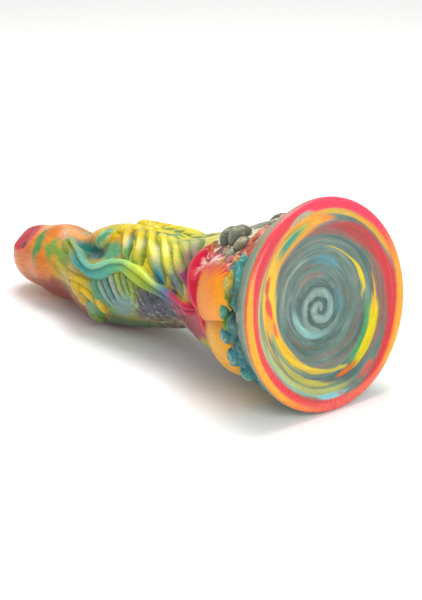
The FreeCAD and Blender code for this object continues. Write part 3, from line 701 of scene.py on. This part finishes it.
def ridge_loop():
    """The ridge as a closed loop: stations follow the angle by the curve above on both sides, a
    parabola to the power 1.2 across, and a rise that fades over the top and underneath."""
    angle = np.linspace(-180, 180, 420, endpoint=False)
    at, s_at = np.array(RIDGE_STATIONS).T
    middle = ease(-np.abs(angle), at, s_at)
    height = RIDGE_RISE * ease(-np.abs(angle), (-180, -120, -90, -60, -35, -18, 0),
                               (0.2, 0.4, 0.9, 1, 0.8, 0.15, 0.05))
    v = np.linspace(-1, 1, 25)
    S = middle[:, None] + RIDGE_HALF_WIDTH * v
    A = np.broadcast_to(angle[:, None], S.shape)
    shape = np.clip(1 - v ** 2, 0, 1) ** 1.2
    lift = height[:, None] * shape - 0.3 * (1 - shape)
    top = skin(S, A, lift + skin_relief(S, A))
    deep = skin(S[:, [-1, 0]], A[:, [-1, 0]], -2.5)
    base = skin_pigment(S, A)
    red = blend_in(linear("#c42a40"), linear("#dc4a60"), 0.4 * step(0.6, 0.1, np.abs(v - 0.1)))
    side = np.abs(A)
    amount = step(26, 42, side) * step(150, 110, side) * step(1, 0.6, np.abs(v))
    colours = blend_in(base, red, 0.85 * amount)
    colours = np.concatenate([colours, colours[:, [-1, 0]]], 1)
    return np.concatenate([top, deep], 1), colours, "loop"


# satin, so that the crest goes pale over a wide band
satin_ridge = cast_silicone("satin_crimson_silicone", roughness=0.34, vein=2.4)
made = assemble("throat_ridge", [ridge_loop()], satin_ridge)
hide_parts("throat_ridge")

# ------------------------------------------------------------
# The lobes: two fat cushions each side of the bulb, cast solid with it and parted by a deep
# crease. The upper one is orange with fine wrinkles that follow its outline, the lower one amber.
UPPER_LOBE_HALF_LENGTH = 17


def upper_lobe_colours(q, turn, base):
    """Orange, amber towards the base, and run through with crimson towards the top and the throat."""
    toward_base = step(0.2, -0.8, np.cos(turn))
    own = blend_in(linear("#f08c22"), linear("#f5a424"), step(0.1, 0.8, q) * toward_base)
    up, throat = q * np.sin(turn), q * np.cos(turn)
    streaks = 0.12 * np.sin(turn * 31) + 0.08 * np.sin(turn * 57 + 2)
    own = blend_in(own, linear("#d23a50"), step(0.2, 0.5, up + streaks))
    own = blend_in(own, base, step(0.45, 0.75, up + streaks))
    own = blend_in(own, linear("#c8364c"), step(0.5, 0.85, throat + 0.5 * streaks))
    # painted light and shade on the wrinkles: the colour a little brighter on each wrinkle's crest and
    # darker in its groove, in step with the relief
    wrinkles = np.sin(2 * np.pi * (1 - q) * UPPER_LOBE_HALF_LENGTH / WRINKLE_PITCH)
    own = own * (1 + 0.05 * wrinkles)[..., None]
    return blend_in(own, base, step(0.8, 1, q))


def lower_lobe_colours(q, turn, base):
    """Amber gold, deeper and darker towards its edge, the darkening painted shade on its rounded
    flank.
    """
    # a deeper amber towards the edge, darkened as painted shade on the flank
    own = blend_in(linear("#e2a012"), linear("#c07412"), step(0.5, 1, q))
    return blend_in(own, base, step(0.85, 1, q))


# satin on both; the upper one's fine wrinkles give its highlights thin rings
wrinkled = cast_silicone("satin_orange_silicone", roughness=0.36, vein=2.0, vein_strength=0.1)
plump = cast_silicone("satin_amber_silicone", roughness=0.36, vein=3.0, vein_strength=0.12)
for hand, side in (("near", 1), ("far", -1)):
    upper = dome(35, -69, UPPER_LOBE_HALF_LENGTH, 16, 3.8, upper_lobe_colours, side, rings=70,
                 around=180, square=2.6, fullness=0.95, sunk=0.3, wrinkle=0.045)
    made = assemble("upper_lobe_" + hand, [upper], wrinkled)
    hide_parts("upper_lobe_" + hand)
    lower = dome(31, -115, 14, 17, 4.0, lower_lobe_colours, side, rings=60, around=160,
                 square=2.5, fullness=0.85, sunk=0.3, wrinkle=0.03)
    made = assemble("lower_lobe_" + hand, [lower], plump)
    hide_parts("lower_lobe_" + hand)

# ------------------------------------------------------------
# The shoulder horns: one small blunt horn each side, standing over the hollow at the end of the
# ribs, with three smaller gold lumps behind it. Cast with the belly; sea green.


def horn_colours(q, turn, base):
    """Sea green with a painted highlight on its top, running into the skin's own colour at its foot.
    """
    # painted highlight: paler green over the top of the horn
    own = blend_in(linear("#4a9070"), linear("#8cc090"), step(0.5, 0.1, q))
    return blend_in(own, base, step(0.55, 1, q))


def lump_colours(q, turn, base):
    """Gold, going green at its foot, where the skin's own colour is darkened by a fifth as painted
    shade.
    """
    # painted shade: the skin's colour made darker at the lump's foot
    return blend_in(linear("#d9c23c"), base * 0.8, step(0.5, 1, q))


# glossy, for the small bright spot on each lump
gloss_horn = cast_silicone("gloss_sea_green_silicone", roughness=0.3, vein=1.8)
for hand, side in (("near", 1), ("far", -1)):
    horn = [dome(131, -32 if side == 1 else -50, 3.6, 6.4, 3.6, horn_colours, side, rings=28,
                 around=56, twist=0.35),
            dome(125, -14, 4.6, 4.2, 2.6, lump_colours, side, rings=20, around=40),
            dome(119, -9, 4.6, 4.0, 2.4, lump_colours, side, rings=20, around=40),
            dome(113, -5, 4.4, 3.6, 2.0, lump_colours, side, rings=20, around=40)]
    made = assemble("shoulder_horn_" + hand, horn, gloss_horn)
    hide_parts("shoulder_horn_" + hand)

# ------------------------------------------------------------
# The crust collar: a band of rough rock-like lumps cast round the root of the bulb, behind the
# flange. Teal and green, with a peach patch on top; its surface is broken at every scale.
CRUST_START, CRUST_END, CRUST_INNER_RADIUS = 11.0, 26.0, 30
# colour, station, angle, half length and half angle of each patch
CRUST_PIGMENTS = (
    ("#4a8078", 18, -90, 30, 200), ("#2f7c86", 20, -122, 8, 24), ("#6f9a3c", 23, -78, 6, 14),
    ("#dc9478", 16, -18, 9, 26), ("#d07a60", 20, -38, 6, 10), ("#a04a58", 24, -44, 4, 8),
    ("#b8a030", 22, -66, 5, 9), ("#4f9a94", 14, -58, 5, 10), ("#6a9a3a", 24, -92, 4, 12),
    ("#8a9a30", 24, -106, 3, 8), ("#8a8038", 22, -104, 3, 6), ("#2c6f74", 22, -132, 6, 14),
    ("#4a9494", 13, -140, 5, 16), ("#c87058", 14, -44, 4, 5), ("#5f8a6c", 18, 180, 12, 40))


def round_axis(s, radius, angle):
    """Points at a station, a radius from the axis and an angle round it."""
    return place(s, radius * np.cos(np.radians(angle)), radius * np.sin(np.radians(angle)))


S, A = np.meshgrid(np.linspace(CRUST_START, CRUST_END, 46),
                   np.linspace(-180, 180, 620, endpoint=False), indexing="ij")
share = (S - CRUST_START) / (CRUST_END - CRUST_START)
# a plain collar, let down by 3.2 mm over the top, then broken into lumps and crags
body = np.interp(S, (11, 13, 20, 26), (39.2, 40.4, 39.4, 36.6))
body = body - 3.2 * step(-75, -25, -np.abs(A)) * step(11, 16, S)
raw = round_axis(S, body, A) * 1000
lumps = 1 - np.abs(churn(raw, 6.5, 51, 2)) * 1.5
crags = churn(raw, 2.6, 52, 3)
body = (body + step(0, 0.2, share) * (1.9 * lumps + 0.8 * crags - 0.9)
        - 3.0 * step(0.8, 1.0, share + 0.12 * crags))
top = round_axis(S, body, A)
colour = linear("#3f8a85")
for hexed, at_s, at_a, half_s, half_a in CRUST_PIGMENTS:
    gap = (-np.abs(A) - at_a + 180) % 360 - 180
    reach = np.hypot((S - at_s) / half_s, gap / half_a) + 0.25 * crags
    colour = blend_in(colour, linear(hexed), step(1.2, 0.8, reach))
# painted shade and light: the colour darker down in the crags and between the lumps and brighter on
# their tops, following the relief
colour = np.clip(colour * (0.58 + 0.36 * lumps + 0.3 * crags)[..., None], 0, 1)
inside = round_axis(S[[-1, 0]], CRUST_INNER_RADIUS, A[[-1, 0]])
# coarse mould grain and strong veins, so that it looks like weathered rock
rock = cast_silicone("rough_teal_silicone", roughness=0.36, vein=1.6, vein_strength=0.3, grain=0.5,
                     relief=0.14)
collar = np.concatenate([top, inside]), np.concatenate([colour, colour[[-1, 0]]]), "loop"
made = assemble("crust_collar", [collar], rock)
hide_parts("crust_collar")

# ------------------------------------------------------------
# The crust knobs: bulbous grey-olive knobs that stand out of the crust on top, with small curled
# lumps between them and rocky ones low on the sides. Solid cast, glossy where they are rounded.
# colour, station, angle, half length, half width and rise of each knob
KNOBS = (
    ("#6c705e", 42, -25, 5.8, 5.2, 5.4), ("#787a66", 34, -27, 6.4, 5.6, 5.6),
    ("#8f8a70", 27, -36, 4.6, 4.0, 3.2), ("#a07a68", 36, -42, 3.0, 3.4, 1.6),
    ("#b8566a", 27, -50, 3.2, 3.0, 2.4), ("#8a8f78", 31, -44, 3.4, 3.0, 2.0),
    ("#d08a4a", 22, -50, 2.8, 2.8, 2.6), ("#a0586a", 24, -57, 2.8, 2.8, 2.2),
    ("#8c7068", 13, 8, 3.6, 3.4, 3.4), ("#b7a040", 21, -66, 4.2, 4.6, 4.0),
    ("#2f7f80", 24, -100, 4.6, 4.4, 3.4), ("#2c7478", 22, -114, 5.2, 5.4, 4.6),
    ("#3a8a84", 20, -128, 5.4, 5.0, 4.4), ("#4f9078", 24, -84, 3.6, 3.6, 3.0),
    ("#357c80", 16, -140, 5.0, 5.0, 3.6))


def knob_colours(hexed):
    """A colouring for one knob: its own colour, darker at its foot with painted shade, and streaked
    paler on top.
    """
    def colour_at(q, turn, base):
        # painted shade: each knob darker towards its foot
        own = blend_in(linear(hexed), linear(hexed) * 0.45, step(0.55, 1, q))
        curl = 0.5 + 0.5 * np.sin(turn * 3 + 9 * q)
        return blend_in(own, linear("#d8d4bc"), 0.35 * step(0.7, 0.2, q) * curl)
    return colour_at


knobs = [dome(s, a, length, width, rise, knob_colours(hexed), side, rings=20, around=44,
              rough=0.5, seed=n, fullness=0.5, sunk=1.2)
         for side in (1, -1) for n, (hexed, s, a, length, width, rise) in enumerate(KNOBS)]
# glossy and strongly veined, so that each knob looks like a wet pebble
pebble = cast_silicone("gloss_olive_silicone", roughness=0.3, vein=1.6, vein_strength=0.3)
made = assemble("crust_knobs", knobs, pebble)
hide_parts("crust_knobs")

# ------------------------------------------------------------
# The base flange: the smooth flared back of the suction base, turned in the master, so its
# pigment lies in thin rings. Grey teal and olive, with fine brown lines.


def turned(profile, colour_at, around=360):
    """A profile of (station, radius) rows carried once round the axis. colour_at takes the
    station, radius and angle of every point."""
    s, r = np.array(profile).T
    angle = np.linspace(-180, 180, around, endpoint=False)
    S, A = np.meshgrid(s, angle, indexing="ij")
    R = np.broadcast_to(r[:, None], S.shape)
    return round_axis(S, R, A), colour_at(S, R, A)


def flange_colours(s, r, a):
    """Olive teal rings, broken a little round the turn, with thin brown lines every 1.6 mm."""
    wave = s + 0.5 * np.sin(np.radians(a * 2 + 40)) + 0.2 * np.sin(np.radians(a * 5))
    own = ease(wave, (0, 2.5, 5, 8, 11, 14),
               linear(["#b9a45a", "#8fa07c", "#7fa090", "#6a8f84", "#7a9078", "#5f8480"]))
    own = blend_in(own, linear("#c08a6c"), 0.6 * step(5, 8, s) * step(30, 18, np.abs(a + 22)))
    lines = step(0.3, 0.9, np.sin(wave * 2 * np.pi / 1.6)) * step(1, 3, wave)
    return blend_in(own, linear("#7a6048"), 0.75 * lines)


s = np.linspace(1.8, 13.5, 60)
outer = np.stack([s, ease(s, (0, 1.8, 4, 9, 13.5), (44.6, 44.9, 43.8, 41.5, 39.6))], 1)
profile = np.concatenate([outer, [(13.5, 30), (11.5, 30), (8, 39), (4.5, 42.6)]])
flange, colour = turned(profile, flange_colours)
# satin from the polished back of the mould, hardly veined, so that the thin rings show
smooth_back = cast_silicone("satin_olive_teal_silicone", roughness=0.38, vein=2.5,
                            vein_strength=0.1)
made = assemble("base_flange", [(flange, colour, "loop")], smooth_back)
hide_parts("base_flange")

# ------------------------------------------------------------
# The suction cup: rim lip, cup wall and suction disc. Soft silicone, pressed smooth so that it
# grips; the pigments were spun while wet, so they lie in a spiral of grey teal with arcs of
# yellow, green and red, and a coral band round the lip. The pale and dark spiral lines near the
# middle are painted highlight and shade.
# pale and dark crescents under the arcs: colour, radius, angle, half width, half angle, strength
CRESCENTS = (
    ("#5a95a2", 18.5, 20, 2.6, 28, 0.6), ("#8fc4bc", 13.5, -140, 1.8, 60, 0.7),
    ("#8a6c62", 12.4, -12, 1.3, 46, 0.6), ("#a8c0a8", 20.5, -50, 1.2, 40, 0.35),
    ("#7d7468", 22.6, 150, 1.4, 80, 0.45), ("#5f8f9a", 12.5, 96, 2.4, 30, 0.5),
    ("#86705f", 26.5, 170, 1.2, 50, 0.5), ("#8aa098", 16.8, -96, 1.0, 40, 0.5))
# colour, radius, angle, half width across, half angle, and how far the arc winds in for a degree
ARCS = (
    ("#7f8a6a", 36, -115, 3.6, 80, 0), ("#a9b070", 36.2, -150, 1.8, 46, 0),
    ("#86a89a", 37.6, -128, 0.9, 50, 0), ("#8b6a5e", 33.4, 92, 2.6, 50, 0),
    ("#8a6058", 31.4, 16, 2.2, 36, 0), ("#b04646", 34.6, 44, 3.2, 34, 0.05),
    ("#cc444a", 38.4, 104, 2.8, 56, 0.05), ("#e05a58", 43.4, 0, 3.6, 400, 0),
    ("#f4566a", 43.0, 8, 3.6, 56, 0), ("#f5a648", 43.0, 104, 3.2, 46, 0),
    # The thin pale yellow arc at 44.4 mm and 110 degrees, on the bead's outer edge, is painted
    # highlight over the yellow-orange pigment.
    ("#f6c060", 44.4, 110, 1.2, 40, 0), ("#e8735a", 43, 160, 3.0, 22, 0),
    ("#dd6660", 42.6, -176, 3.0, 20, 0), ("#ee8450", 43.6, -142, 1.6, 25, 0),
    ("#f0ac48", 43.6, -100, 1.5, 50, 0), ("#d94f52", 40.2, -100, 2.2, 76, 0),
    ("#d2505a", 42.2, -44, 2.6, 30, 0), ("#b8b070", 38.2, -80, 0.9, 46, 0),
    ("#caa648", 39.4, 6, 1.0, 44, 0), ("#8fae98", 40.6, -15, 1.3, 10, 0),
    ("#d9a040", 39.6, 52, 0.9, 22, 0.02), ("#ea8a40", 36.4, -6, 2.2, 20, 0),
    ("#e8903c", 34.8, -30, 5.6, 38, 0.05), ("#d9b43c", 34.6, -30, 4.5, 33, 0.05),
    ("#e07a3c", 34.5, -31, 3.7, 29, 0.05), ("#b9b040", 34.4, -31, 3.1, 25, 0.05),
    ("#7fa04c", 34.3, -32, 2.5, 21, 0.05), ("#2f8a80", 34.2, -33, 1.8, 15, 0.05),
    ("#d9b048", 33.4, -84, 1.1, 34, 0.0), ("#f2c42c", 30.6, -76, 5.2, 33, 0.08),
    ("#ecb934", 27.4, -118, 2.8, 30, 0.0), ("#d9bd48", 27.4, -152, 1.3, 28, -0.04),
    ("#c9b850", 29.0, 176, 0.7, 20, -0.06), ("#8aa86a", 29.4, -120, 1.0, 34, 0),
    ("#b9b45a", 32.6, -150, 1.2, 36, -0.02), ("#f0a030", 29.6, -88, 3.0, 16, 0.1),
    ("#d8503c", 33.4, -67, 1.8, 8, 0.1), ("#d4483a", 30.2, -80, 2.2, 8, 0.1),
    ("#e0704a", 27.4, -98, 1.2, 8, 0), ("#4f9a68", 28.2, 126, 2.0, 28, 0.04),
    ("#dccb30", 30.7, 122, 2.0, 32, 0.03), ("#e0b040", 29.8, 92, 0.7, 20, 0),
    ("#d8703c", 31.4, 158, 0.8, 13, 0), ("#86c4c8", 38.2, -177, 1.5, 13, 0),
    ("#c8645a", 37.4, 150, 0.9, 9, 0.02), ("#c86a70", 38.4, 176, 0.8, 2, 0))


def comb(winding, a, seed):
    """Noise drawn out round the turn into fine streaks: cells 1 mm across and a tenth of a turn
    long, wrapped on a cylinder so that they meet."""
    turn = np.radians(a)
    return churn(np.stack([winding * 3, 5 * np.cos(turn), 5 * np.sin(turn)], -1), 3.0, seed, 3)


def cup_colours(s, r, a):
    """The spun face: a faint spiral of grey teals about a point 3 mm below the middle, one turn
    every 6 mm, with crescents of paler teal, then the arcs of stronger colour. Near the middle the
    spiral's pale bands are painted highlight and its dark groove lines painted shade, standing for
    raised pour lines that the smooth bowl does not have. Each arc is soft in radius and angle and
    winds in or out; streaks drawn round the turn break every edge."""
    x, y = r * np.cos(np.radians(a)) + 3.0, r * np.sin(np.radians(a)) - 2.0
    reach, turn = np.hypot(x, y), np.degrees(np.arctan2(y, x))
    fine = comb(r, a, 62)
    slow = comb(r * 0.3, a, 63)
    wind = reach + turn / 360 * 6.0 + 0.7 * slow
    band = 0.5 + 0.5 * np.sin(wind * 2 * np.pi / 6.0)
    base = blend_in(linear("#45605c"), linear("#728a80"), 0.5 + 0.5 * slow)
    brown = step(0.1, 0.6, comb(r * 1.6, a, 64)) * step(9, 20, reach)
    base = blend_in(base, linear("#8a6e58"), 0.5 * brown)
    base = blend_in(base, linear("#33605f"), 0.5 * step(0.1, 0.6, comb(r * 1.3, a, 65)))
    # painted highlight: pale along the spiral's bands near the middle, for raised pour lines catching
    # the light
    base = blend_in(base, linear("#9fb8b0"), 0.65 * band * step(13, 7, reach))
    # painted shade: a dark line along the spiral beside those bands, though the bowl has no groove
    groove = step(0.22, 0.02, np.abs(band - 0.12)) * step(16, 8, reach)
    base = blend_in(base, linear("#35504f"), 0.8 * groove)
    for hexed, at_r, at_a, half_r, half_a, strength in CRESCENTS:
        gap = (a - at_a + 180) % 360 - 180
        spread = np.hypot((r + 0.5 * fine - at_r) / half_r, gap / half_a)
        base = blend_in(base, linear(hexed), strength * step(1.2, 0.5, spread))
    tongue = 24.4 + 1.0 * step(40, 66, a) - 1.2 * step(84, 94, a)
    thick = 0.3 + 1.0 * step(45, 80, a)
    spread = np.hypot((r - tongue) / thick, (a - 54) / 40)
    colour = blend_in(base, linear("#dcc42e"), 0.95 * step(1.2, 0.7, spread))
    for hexed, at_r, at_a, half_r, half_a, winding in ARCS:
        gap = (a + 5 * slow - at_a + 180) % 360 - 180
        spread = np.hypot((r + 0.45 * fine + 0.5 * slow - at_r - winding * gap) / half_r, gap / half_a)
        colour = blend_in(colour, linear(hexed), 0.94 * step(1.22, 0.68, spread))
    return np.clip(colour * (1 + 0.2 * fine * step(42, 38, r))[..., None], 0, 1)


def lip_colours(s, r, a):
    """The spun face carried over the bead, giving way to the flange's rings on its outer side."""
    outer_side = step(1.5, 2.6, s) * step(42, 43.5, r)
    return blend_in(cup_colours(s, r, a), flange_colours(s, r, a), outer_side)


CUP_DEPTH, BOWL_RADIUS, DISC_RADIUS = 8.5, 101, 24.0       # millimetres


def cup_depth(r):
    """How far the cup's face lies behind the rim plane: a shallow ball-shaped bowl."""
    return CUP_DEPTH - BOWL_RADIUS + np.sqrt(BOWL_RADIUS ** 2 - r ** 2)


# the lip's face, from the inside edge over a rounded bead to the outer edge and round to its back
bead = np.linspace(0, np.pi, 30)
r = np.linspace(38, 42.2, 18)
face = np.stack([cup_depth(r) * step(42.4, 39.5, r) + 0.05, r], 1)
edge = np.stack([2.6 - 2.6 * np.cos(bead), 42.4 + 2.6 * np.sin(bead)], 1)
lip, colour = turned(np.concatenate([face, edge, [(6, 41.0), (6, 38), (1.15, 37.98)]]), lip_colours)
# cast against polished metal: even, bright colour with a soft sheen and no grain
polished = cast_silicone("polished_coral_silicone", roughness=0.28, vein=6, vein_strength=0.06,
                         relief=0.02, coat=0.15, glow=0.2)
made = assemble("rim_lip", [(lip, colour, "loop")], polished)
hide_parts("rim_lip")

# the same polished face, a little more translucent, so that the spun streaks look deep
satin_cup = cast_silicone("satin_pearl_teal_silicone", roughness=0.33, vein=6, vein_strength=0.08,
                          relief=0.02, coat=0.25, glow=0.25)
r = np.linspace(DISC_RADIUS, 38.1, 60)
wall = np.stack([cup_depth(r), r], 1)
wall_back = [(1.2, 38.12), (10, 38.1), (10, DISC_RADIUS), (5.7, DISC_RADIUS - 0.01)]
wall, colour = turned(np.concatenate([wall, wall_back]), cup_colours)
made = assemble("cup_wall", [(wall, colour, "loop")], satin_cup)
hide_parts("cup_wall")

r = np.linspace(0.05, DISC_RADIUS, 90)
disc = np.stack([cup_depth(r), r], 1)
disc_back = [(5.7, DISC_RADIUS + 0.01), (10.5, DISC_RADIUS), (10.5, 0.05)]
disc, colour = turned(np.concatenate([disc, disc_back]), cup_colours)
made = assemble("suction_disc", [(disc, colour, "capped")], satin_cup)
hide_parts("suction_disc")
